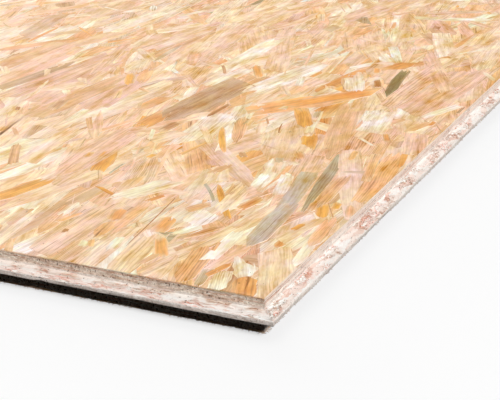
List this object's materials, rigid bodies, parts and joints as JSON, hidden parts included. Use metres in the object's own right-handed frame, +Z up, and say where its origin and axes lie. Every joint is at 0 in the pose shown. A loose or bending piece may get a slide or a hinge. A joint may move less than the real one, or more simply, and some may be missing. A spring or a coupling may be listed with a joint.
{
  "type": "tongue and groove osb board",
  "caption": "Flat oriented strand board with a tapered tongue along one long and one short side and a matching groove along the other two.",
  "frame": {"origin": "middle of the underside, measured over the tongues", "axes": "+X along the long side, from the end with the tongue to the end with the groove; +Y across the board, from the tongue side to the groove side; +Z up, out of the top face"},
  "size_m": [2.0578, 0.6828, 0.018],
  "materials": {
    "strand_wood": "matte pressed strands, unsanded, milled edges"
  },
  "bodies": {
    "root": {"osb_board": "strand_wood"}
  },
  "joints": []
}
